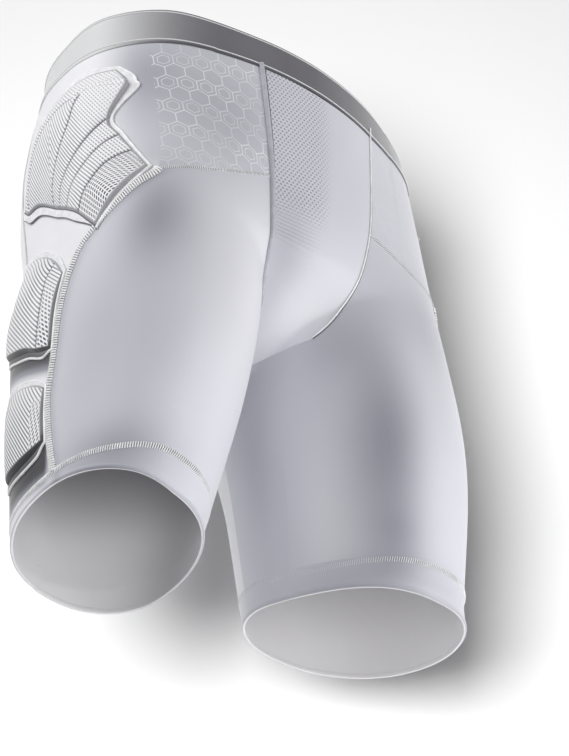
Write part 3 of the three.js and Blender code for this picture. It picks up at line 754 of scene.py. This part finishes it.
def make_pouch():
    """The pouch stands out of the front between its two seams."""
    bulge = [[0, 0.1], [0.35, 0.5], [0.65, 1], [0.9, 0.8], [1, 0.3]]
    share = np.linspace(0, 1, round(2 * POUCH_HALF / POUCH_STEP) + 1)[None, :]
    ends = [waist_drop(side, curve(side["edges"]["pouch"], np.array(BAND_HEIGHT + 9.0))) for side in SIDES]
    top = lerp(float(ends[0]), float(ends[1]), share) + BAND_HEIGHT
    down = np.linspace(0, 1, round((POUCH_END - 45) / POUCH_STEP) + 1)[:, None]
    drop = lerp(top, POUCH_END, down) + 0 * share
    across = 2 * share - 1
    right, left = (curve(side["pouch"], drop) for side in SIDES)
    x = lerp(-right, left, share)
    base = hit(x, TRUNK_Y, drop, 0, -1, 0, RAY_END)
    normal = outward(base)
    outer = base + normal * (POUCH_BULGE * (1 - across ** 2) * curve(bulge, down))[..., None]
    knit = (1 - smooth(x, -2, 20)) * (1 - smooth(drop, 0.68 * RISE, 0.82 * RISE))
    ripple = (1 - smooth(x, -8, 14)) * smooth(drop, 0.6 * RISE, 0.72 * RISE)
    ripple = ripple * (1 - smooth(drop, 0.86 * RISE, 0.93 * RISE))
    # Soft patches of painted shade, and one of painted light low on the pouch
    painted_shade = 0.5 * blot(x, drop, -24, 22, 212, 44) + 0.12 * blot(x, drop, 20, 40, 120, 60)
    pale = 0.55 * blot(x, drop, 12, 40, 240, 26)
    marks = {"u": x, "v": drop, "painted_shade": painted_shade, "pale": pale, "mesh": knit, "ripple": ripple}
    piece = shell("front_pouch", outer, outer - CLOTH * normal, PAINTS["mesh_cloth"], marks)
    settle(piece, "mesh_cloth", "front_pouch")
    as_cloth(outer)


def make_band():
    """The waistband: a woven wall with a rounded cord along both edges."""
    height, wide = BAND_HEIGHT, BAND_CORD_WIDTH / 2
    top, low = BAND_CORD_TOP, height - BAND_CORD_LOW
    near = np.linspace(-wide, wide, 9)
    below = np.concatenate([[0, 0.5], top + near, np.linspace(5, height - 6, 14), low + near,
                            [height - 1.5, height - 0.4, height]])[:, None]
    away = np.minimum(np.abs(below - top), np.abs(below - low))
    lift = np.sqrt(np.clip(1 - (away / wide) ** 2, 0, 1))
    halves = []
    for side in SIDES:
        share = np.linspace(0, 1, 181)[None, :]
        level = BAND_HEIGHT / 2
        back = float(curve(side["edges"]["back"], level))
        ahead = turn_where(lambda turn: np.abs(surface(side, turn, level)[..., 0]) < 0.05, 60.0, 178.0)
        angle = lerp(back, float(ahead), share)
        ahead_share = smooth(angle, 65, 110) if side["right"] else smooth(angle, 40, 85)
        high = ahead_share * (1 - below / height)
        drop = waist_drop(side, angle) + below + BAND_DIP * high
        halves.append([surface(side, angle, drop), angle + 0 * drop, BAND_LEAN * high])
    # Painted shade over the band, darker towards the front
    halves[0].append(smooth(halves[0][1], 20, 95))
    halves[1].append(0.35 * smooth(halves[1][1], -70, 0) + 0.65 * smooth(halves[1][1], 50, 135))
    base, turn, lean, darker = (np.concatenate([a, b[:, -2:0:-1]], 1) for a, b in zip(*halves))
    normal = outward(base)
    base = base - normal * lean[..., None]
    outer = base + normal * (BAND_RAISE + BAND_CORD * lift)[..., None]
    inner = base + normal * (BAND_RAISE - BAND_WALL)
    # Painted shadow under the lower cord towards the front, and a thin one along the top edge
    cord_shadow = 0.8 * smooth(below, low + wide, low + wide + 0.5) * smooth(turn, 20, 80)
    cord_shadow = cord_shadow + 0.5 * smooth(-below, -0.8, -0.3)
    marks = {"u": lengths_along(base, 1), "v": below + 0 * turn, "cord": lift + 0 * turn,
             "cord_shadow": cord_shadow, "painted_shade": darker}
    piece = shell("waistband", outer, inner, PAINTS["waistband"], marks, wrap=True)
    settle(piece, "waistband", "waistband")
    as_cloth(np.concatenate([base, base[:, :1]], 1))


def make_hem(side):
    """A hem: a doubled ring that ends in a roll."""
    name = f"hem_{side['name']}"
    above = np.concatenate([np.linspace(HEM_HEIGHT, 4, 8), np.linspace(HEM_ROLL_HEIGHT, 0, 10)])[:, None]
    roll = np.sqrt(np.clip(1 - (2 * above / HEM_ROLL_HEIGHT - 1) ** 2, 0, 1))
    angle = np.linspace(0, 360, 260, endpoint=False)[None, :]
    drop = hem_drop(side, angle) - above
    base = surface(side, angle, drop)
    normal = outward(base)
    outer = base + normal * (HEM_ROLL * roll)[..., None]
    inner = base + normal * (-HEM_WALL - 0.5 * HEM_ROLL * roll)[..., None]
    turn = (angle + 90) % 360 - 90
    # Painted shade as on the panels, with more painted shade along the roll's lower edge; the back of the hem
    # is paler like the side and back, and its inside has the painted shade of the legs' insides
    painted_shade = painted_shade_of(side, turn, drop) + 0.35 * (1 - smooth(above, 0.5, 3))
    pale = 1 - smooth(turn, -15, 25) * (1 - smooth(turn, 200, 235)) + 0 * drop
    marks = {"u": lengths_along(base, 1), "v": drop, "painted_shade": painted_shade, "pale": pale,
             "deep": inside_shade_of(side, turn, drop)}
    piece = shell(name, outer, inner, PAINTS["hem_cloth"], marks, wrap=True)
    settle(piece, "hem_cloth", name)
    as_cloth(np.concatenate([base, base[:, :1]], 1))


# Seams
def frames_of(points, pitch):
    """Even points on a path over the body, with the directions along it, out of it and across it."""
    run = lengths_along(points[:, None], 0)[:, 0]
    steps = np.linspace(0, run[-1], max(3, round(run[-1] / pitch) + 1))

    def sample(values):
        return np.stack([np.interp(steps, run, column) for column in values.T], -1)
    places, normal = sample(points), unit(sample(outward(points)))
    along = unit(np.gradient(places, axis=0))
    return places, along, normal, unit(np.cross(normal, along))


def stitches(name, points, slot, width, pitch=1.9, radius=0.42, slant=1.2, lift=1.2, fade=None):
    """Threads laid across a seam, each a low arch. One that fades runs round a whole ring."""
    places, along, normal, across = frames_of(points, pitch)
    if fade is not None:
        places, along, normal, across = (v[:-1] for v in (places, along, normal, across))
    reach = np.linspace(-1, 1, 5)[None, :, None]
    size = 1.0 if fade is None else fade(places)[:, None, None]
    paths = (places[:, None] + reach * (across * width / 2 + along * slant / 2)[:, None]
             + normal[:, None] * lift * size * (1 - 0.75 * reach ** 2))
    normals = np.broadcast_to(normal[:, None], paths.shape)
    thick = radius * (1.0 if fade is None else size[..., 0])
    settle(tubes(name, paths, normals, thick, 5), slot)


def strip(name, points, slot, width, height, paint, offset=0.0, lift=0.0):
    """A low rounded strip along a path over the body."""
    places, _, normal, across = frames_of(points, 2.0)
    turn = ring_turn(12)
    middle = places + across * offset + normal * lift
    rings = (middle[:, None] + np.cos(turn) * across[:, None] * width / 2
             + np.sin(turn) * normal[:, None] * height)
    settle(ringed(name, rings[None], PAINTS[paint]), slot)


def flatlock(name, points, slot="cloth", width=4.6, **options):
    """A flat seam: threads across a strip of painted shade that shows between them."""
    strip(f"{name}_tape", points, slot, 0.95 * width, 0.5, "shade")
    stitches(f"{name}_threads", points, slot, width, **options)


def make_seams(side):
    name = side["name"]
    hem = LENGTH - HEM_HEIGHT
    drops = np.linspace(SIDE_SEAM_TOP, SIDE_SEAM_LOW, 200)
    flatlock(f"side_seam_{name}", surface(side, curve(SIDE_SEAM, drops), drops), width=6.9, pitch=2.0,
             radius=0.7, lift=1.4, slant=1.5)
    across = np.linspace(0, 1, 80)
    drops = yoke_drop(side, across)
    yoke = surface(side, front_turn(side, drops, across), drops)
    flatlock(f"yoke_seam_{name}", yoke, "yoke_cloth", width=2.8, pitch=1.5, radius=0.3, lift=0.8)
    drops = np.linspace(BAND_HEIGHT + 2, hem, 160)
    flatlock(f"back_seam_{name}", surface(side, -BACK_EDGE, drops), width=3.2, radius=0.3, lift=0.6)
    turn = np.linspace(0, 360, 361)

    def less_inside(places):
        across_leg = side["sign"] * places[:, 0] - leg_axis(side, -places[:, 2])[0]
        return 0.35 + 0.65 * smooth(across_leg, -55, -10)
    ring = surface(side, turn, hem_drop(side, turn) - curve(side["stitch_height"], (turn + 180) % 360 - 180))
    if side["right"]:
        ahead = np.linspace(-60, 105, 166)
        line = surface(side, ahead, hem_drop(side, ahead) - curve(side["stitch_height"], ahead))
        # A strip of painted shade that shows between the right hem's stitches
        strip(f"hem_line_{name}", line, "hem_cloth", 3.4, 0.3, "shade")
    stitches(f"hem_stitches_{name}", ring, "hem_cloth", 3.8, pitch=1.7, slant=0.9, lift=0.7, fade=less_inside)


def make_pouch_seams():
    """Raised piping down both sides of the pouch with a strip of painted shadow beside it, and the back's
    middle seam.
    """
    for side in SIDES:
        drops = np.linspace(BAND_HEIGHT + 9, POUCH_END - 1, 140)
        points = surface(side, curve(side["edges"]["pouch"], drops), drops)
        wide, high, dark = (4.2, 2.0, 1.8) if side["right"] else (1.5, 0.8, 0.9)
        paint = "piping" if side["right"] else "thread"
        strip(f"pouch_piping_{side['name']}", points, "mesh_cloth", wide, high, paint, lift=0.5)
        # A strip of painted shadow beside the piping
        strip(f"pouch_shadow_strip_{side['name']}", points, "mesh_cloth", dark, 0.7, "shade_strip",
              offset=wide / 2 + dark / 2 - 0.2)
    drops = np.linspace(BAND_HEIGHT + 2, CROTCH - 2, 120)
    right = SIDES[0]
    middle = surface(right, curve(right["edges"]["back"], drops), drops)
    flatlock("centre_back_seam", middle, width=3.2, radius=0.3, lift=0.6)


# Pads. Each row is a line from a pad's low end to its high end, of [degrees in front of the side, drop].
HIP_PAD = [
    [[-44, 138], [-25, 83], [1, 68], [22, 64], [42, 69]],
    [[-38, 147], [-22, 99], [-2, 83], [22, 83], [47, 80]],
    [[-25, 153], [-9, 122], [6, 100], [22, 84.5], [48.5, 87]],
    [[-7, 170.5], [3, 136], [13, 110], [22, 86], [49, 93]],
    [[2, 179], [9, 162], [20, 146], [31, 132], [39.5, 121]],
    [[11.5, 189], [19.5, 174.5], [30, 160], [38, 150], [46, 142.6]],
    [[25.5, 207], [31, 188], [39, 174], [47, 167.3], [53, 163.6]],
    [[38, 229.5], [44.5, 210.3], [51, 196.4], [55, 189], [59, 182]],
]
THIGH_PAD = [
    [[-45, 283], [-44, 238], [-42, 196]],
    [[-28, 296], [-27, 250], [-25, 205]],
    [[-10, 306], [-10, 262], [-9, 217]],
    [[3, 315], [5, 280], [9, 238]],
    [[15.2, 320], [15.8, 286], [19.3, 257]],
]
LOWER_PAD = [
    [[-43, 396], [-43, 360], [-42, 324]],
    [[-22, 399], [-22, 365], [-21, 331]],
    [[-2, 398], [-2, 370], [0, 341]],
    [[13.2, 394], [11.5, 372], [11.5, 350]],
]
# What the two lower pads share: how dark the painted groove shade is, how far the border drops, how dark the
# painted shadow at the wall's low end is, and thicknesses
SMALL_PAD = {"groove_shade_strength": 1, "below": 1, "under": 1,
             "thick": {"low": 5.5, "high": 1.8, "back": 2.5, "front": 1.8}}
# Channels: a row and the shares along it that are sewn. Lanes: a first row, and its ribs' slant and pitch.
PADS = {
    "hip_pad": {
        "rows": HIP_PAD, "channels": [(1, 0, 0.73), (3, 0, 0.73), (4, 0, 1), (5, 0, 1), (6, 0, 1)],
        "size": (118, 110), "lanes": [(0, 54, 2.4), (1, 68, 2.4), (3, 60, 2.1)], "dashes": "along",
        "crown": 6.5, "groove_shade_strength": 0.8, "below": 1.7, "under": 0.3,
        "thick": {"low": 2.2, "high": 2.6, "back": 2.2, "front": 3.2}},
    "thigh_pad": {"rows": THIGH_PAD, "channels": [(3, 0, 1)], "size": (85, 78), "dashes": 44, "crown": 6.5,
                  "lanes": [(0, 50, 2.7), (3, 46, 2.4)], **SMALL_PAD},
    "lower_pad": {"rows": LOWER_PAD, "channels": [], "size": (74, 62), "dashes": -50, "crown": 6,
                  "lanes": [(0, 53, 2.7)], **SMALL_PAD},
}


def edged(length, step, rim, stops=()):
    """Shares from 0 to 1 that lie closer together within a rim at both ends and beside each stop."""
    near = rim * np.array([0, 0.02, 0.08, 0.18, 0.32, 0.5, 0.72]) / length
    inner = np.linspace(rim / length, 1 - rim / length, max(4, round((length - 2 * rim) / step)))
    close = np.array([-1.3, -0.8, -0.45, -0.2, 0, 0.2, 0.45, 0.8, 1.3]) / length
    for stop in stops:
        inner = inner[np.abs(inner - stop) > 1.7 / length]
        inner = np.sort(np.concatenate([inner, stop + close]))
    return np.concatenate([near, inner, 1 - near[::-1]])


def pad_places(pad, side, s, t):
    """Points of the body under a pad at shares across its rows and along them, and straight down below it."""
    net = np.array(pad["rows"], float)
    along = spread(net.transpose(1, 0, 2), np.maximum(t, 0)).transpose(1, 0, 2)
    places = spread(along, s)
    reach = pad["below"] * (1 - 0.8 * smooth(s, 0.8, 1))[:, None]
    places[..., 1] += np.maximum(-t, 0) * pad["size"][0] * reach
    return surface(side, places[..., 0], places[..., 1]), places


def pad_marks(pad, s, t, base, places):
    """What a pad's relief needs at each point, and what its paint needs."""
    rows = len(pad["rows"]) - 1
    run_t, run_s = lengths_along(base, 1), lengths_along(base, 0)
    edge = np.minimum(np.minimum(run_t, run_t[:, -1:] - run_t), np.minimum(run_s, run_s[-1:] - run_s))
    width = run_s[-1:] / rows
    channel, nearest = np.zeros_like(edge), np.full_like(edge, 1e3)
    for row, start, end in pad["channels"]:
        away = np.abs(s[:, None] * rows - row) * width
        shown = smooth(t[None, :], start - 0.03, start) * (1 - smooth(t[None, :], end, end + 0.03))
        channel = np.maximum(channel, bell(away / 0.72) * shown)
        nearest = np.minimum(nearest, away / np.maximum(shown, 1e-3))
    at_row = (s * rows)[:, None]
    starts, slants, pitches = np.array(pad["lanes"], float).T
    lane = np.searchsorted(starts, at_row, side="right") - 1
    lean, pitch = np.radians(slants[lane]), pitches[lane]
    forward, drop = np.radians(places[..., 0]) * THIGH["out"], places[..., 1]
    rib = (forward * np.sin(lean) - drop * np.cos(lean)) * RIB_PITCH / pitch
    slope = forward * np.cos(lean) + drop * np.sin(lean)
    if pad["dashes"] == "along":
        dashed = smooth(at_row, 5.98, 6.02) + 0 * edge
        high = smooth(t, 0.62, 0.70)[None, :] * (1 - smooth(at_row, 3.6, 4.0))
        middle = smooth(at_row, 4.0, 4.4) * smooth(t, 0.4, 0.6)[None, :]
        broken = np.maximum(high, middle)
        row, chop = run_s, lerp(slope, run_t, dashed)
    else:
        dashed = smooth(at_row, rows - 0.85, rows - 0.75) * smooth(1 - t, 0.15, 0.4)[None, :]
        broken = 0 * edge
        turn = math.radians(pad["dashes"])
        row, chop = forward * math.sin(turn) - drop * math.cos(turn), run_s
    thick = pad["crown"] + 0 * edge
    sides = {"low": run_t, "high": run_t[:, -1:] - run_t, "back": run_s, "front": run_s[-1:] - run_s}
    for key, away in sides.items():
        share = pad["thick"][key] / pad["crown"]
        thick = thick * lerp(share, 1, 1 - np.exp(-(away / PAD_EASE) ** 1.5))
    if pad["dashes"] == "along":
        thick = thick * lerp(0.55, 1, smooth(at_row, 0, 2.5))
        thick = thick + TIP_LIFT * bell((at_row - 2.3) / 1.1) * bell(sides["high"] / 9)
    # Painted shadow on the wall at a pad's low end, and along the two lower pads' front wall
    under = pad["under"] * bell(run_t / 5) + 0.6 * (pad["under"] == 1) * bell(sides["front"] / 4)
    # Painted groove shade, stronger towards a pad's low end and its last rows
    groove_shade_strength = pad["groove_shade_strength"] * (0.65 + 0.35 * smooth(at_row / rows + 0.6 * (1 - t[None, :]), 0.3, 0.9))
    relief = {"edge": edge, "nearest": nearest, "thick": thick}
    shown = {"groove_shade_strength": np.maximum(groove_shade_strength, dashed), "channel": channel, "rib": rib, "row": row, "dashed": dashed,
             "broken": broken, "chop": chop, "under": np.clip(under, 0, 1)}
    return relief, shown


def make_pad(side, word, pad):
    name = f"{word}_{side['name']}"
    length, width = pad["size"]
    stops = [row / (len(pad["rows"]) - 1) for row, _, _ in pad["channels"]]
    s, t = edged(width, 1.05, PAD_ROUND, stops), edged(length, 0.7, PAD_ROUND)
    base, places = pad_places(pad, side, s, t)
    normal = outward(base)
    relief, shown = pad_marks(pad, s, t, base, places)
    inward = 1 - np.clip(relief["edge"] / PAD_ROUND, 0, 1)
    rounded = np.sqrt(1 - inward ** 2)
    lobe = 1 - 0.18 * np.exp(-(relief["nearest"] / 2.6) ** 1.4)
    top = smooth(relief["edge"], 0.55 * PAD_ROUND, 0.9 * PAD_ROUND)
    ribs = 0.28 * np.cos(2 * math.pi * shown["rib"] / RIB_PITCH) * (1 - shown["dashed"]) * top
    rise = rounded * (relief["thick"] * lobe - 0.8 * shown["channel"]) + ribs
    outer = base + normal * (PAD_BASE + rise)[..., None]
    inner = base + normal * (PAD_BASE - 0.5)
    piece = shell(name, outer, inner, PAINTS["pad"], {**shown, "top": top}, sharp=180)
    settle(piece, "pad", name)


def make_border(side, word, pad):
    """The flat border under a pad. A pale cord edges it, but strips of painted shadow edge the hip pad's low
    side.
    """
    name = f"{word}_border_{side['name']}"
    length, width = pad["size"]
    s = np.linspace(-PAD_MARGIN / width, 1 + 1.0 / width, round(width / 2.5))
    t = np.linspace(-PAD_MARGIN / length, 1 + PAD_MARGIN / length, round(length / 2.5))
    base, _ = pad_places(pad, side, s, t)
    normal = outward(base)
    outer = base + normal * (PLATE_BASE + PLATE_THICKNESS)
    whole = pad["under"] == 1
    # Painted shadow on the border just below a thick pad's low end
    shade = whole * (1 - smooth(t, -4.0 / length, 6.0 / length))[None, :] + 0 * s[:, None]
    piece = shell(name, outer, base + normal * PLATE_BASE, PAINTS["pad_border"], {"dark": shade})
    settle(piece, "pad_border", name)
    as_cloth(base)
    low_end = [base[-2:0:-1, 0]] if whole else []
    rim = np.concatenate([base[0], base[1:, -1], base[-1, -2::-1], *low_end])
    out = outward(rim)
    path = rim + out * (PLATE_BASE + 0.7)
    settle(tubes(f"{name}_cord", path[None], out[None], 1.0, 8, closed=whole), "pad_border")
    if not whole:
        # Strips of painted shadow along the border's low edge and along the pad's foot
        strip(f"{name}_low_shadow_line", base[:, 0], "pad_border", 1.3, 1.8, "shade_strip")
        foot, _ = pad_places(pad, side, np.linspace(0, 1, 60), np.array([0.0]))
        strip(f"{name}_foot_shadow_line", foot[:, 0], "pad_border", 1.9, 0.9, "shade_strip", lift=1.2)


# Studio, in metres. Each light has its places by the camera's right, up and back, its size and its power.
CAMERA = {"azimuth": -40.8, "elevation": -35.9, "roll": -1.6, "distance": 1.730, "target": (0.065, 0, -0.229)}
FRAME_HEIGHT, FOCAL_PIXELS, SENSOR = 756, 2186, 36
WALL_GAP, WALL_SIZE, FLOOR_LEVEL, FLOOR_SIZE = 0.22, 8.0, -2.2, 12.0
BACKDROP_LIGHT = (-0.66, 0.62, 3.0, 1.15, 26.5)
BOXES = {"left_box": (-1.0, 0.9, 0.3, 0.9, 12.5), "right_box": (1.1, 0.25, 0.25, 0.9, 9),
         "front_box": (0.0, 0.0, 1.6, 0.9, 8.5), "low_box": (0.7, -1.0, 0.9, 0.8, 9)}


def camera_axes():
    """The camera's right, up and backward directions."""
    azimuth, elevation, roll = (math.radians(CAMERA[key]) for key in ("azimuth", "elevation", "roll"))
    level = math.cos(elevation)
    back = Vector((math.sin(azimuth) * level, -math.cos(azimuth) * level, math.sin(elevation)))
    right = Vector((math.cos(azimuth), math.sin(azimuth), 0))
    up = back.cross(right)
    turned = math.cos(roll) * right + math.sin(roll) * up
    return turned, back.cross(turned), back


RIGHT, UP, BACK = camera_axes()
TARGET = Vector(CAMERA["target"])


def stand(place, right, up, back):
    """A matrix at a place with the directions given for its X, Y and Z."""
    return Matrix([[*right, 0], [*up, 0], [*back, 0], [*place, 1]]).transposed()


def facing(place, back):
    """A matrix at a place whose -Z looks along the reverse of a direction."""
    right = UP.cross(back).normalized()
    return stand(place, right, back.cross(right), back)


def make_camera():
    data = bpy.data.cameras.new("camera")
    data.sensor_width = SENSOR
    data.lens = FOCAL_PIXELS * SENSOR / FRAME_HEIGHT
    place = TARGET + BACK * CAMERA["distance"]
    bpy.context.scene.camera = linked("camera", data, stand(place, RIGHT, UP, BACK))


def softbox(name, place, receiver, aim=(0, 0)):
    """A square soft light for one collection. It points at the shorts, or beside them by aim."""
    right, up, back, size, power = place
    data = bpy.data.lights.new(name, "AREA")
    data.shape, data.size, data.energy = "SQUARE", size, power
    offset = RIGHT * right + UP * up + BACK * back
    away = (offset - RIGHT * aim[0] - UP * aim[1]).normalized()
    light = linked(name, data, facing(TARGET + offset, away))
    light.light_linking.receiver_collection = receiver
    return light


def clear_behind(paint):
    """Lets a material be seen through from behind."""
    front = Value(paint, paint.shader.outputs[0])
    behind, clear = paint.add("NewGeometry", {}, out="Backfacing"), paint.add("BsdfTransparent", {})
    surface_input = paint.tree.nodes["Material Output"].inputs["Surface"]
    paint.put(surface_input, paint.add("MixShader", {0: behind, 1: front, 2: clear}))


def stage_plane(name, matrix, size, collection):
    """A plain pale plane of the studio."""
    half = size / 2
    corners = [(-half, -half, 0), (half, -half, 0), (half, half, 0), (-half, half, 0)]
    mesh = bpy.data.meshes.new(name)
    mesh.from_pydata(corners, [], [(0, 1, 2, 3)])
    paint = Paint(name, (0.75, 0.75, 0.75), 0.9, 0.0, 0.5)
    mesh.materials.append(paint.material)
    linked(name, mesh, matrix, collection)
    return paint


def make_studio():
    scene = bpy.context.scene
    scene.view_settings.view_transform = "Standard"
    stage, worn = bpy.data.collections.new("stage"), bpy.data.collections.new("worn")
    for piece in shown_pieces():
        worn.objects.link(piece)
    for collection in (stage, worn):
        scene.collection.children.link(collection)
    level = Vector((BACK.x, BACK.y, 0)).normalized()
    clear_behind(stage_plane("backdrop", facing(TARGET - level * WALL_GAP, level), WALL_SIZE, stage))
    stage_plane("floor", Matrix.Translation((0, 0, FLOOR_LEVEL)), FLOOR_SIZE, stage)
    backdrop = softbox("backdrop_light", BACKDROP_LIGHT, stage, aim=(-0.08, 0.12))
    backdrop.data.spread = math.radians(70)
    for name, place in BOXES.items():
        softbox(name, place, worn)
    world = bpy.data.worlds.new("studio")
    world.use_nodes = True
    glow = world.node_tree.nodes["Background"].inputs
    glow["Color"].default_value, glow["Strength"].default_value = (1, 1, 1, 1), 0.2
    scene.world = world


make_camera()
make_pouch()
make_band()
for side in SIDES:
    make_panels(side)
    make_hem(side)
    make_seams(side)
    for word, pad in PADS.items():
        make_border(side, word, pad)
        make_pad(side, word, pad)
make_pouch_seams()
make_studio()
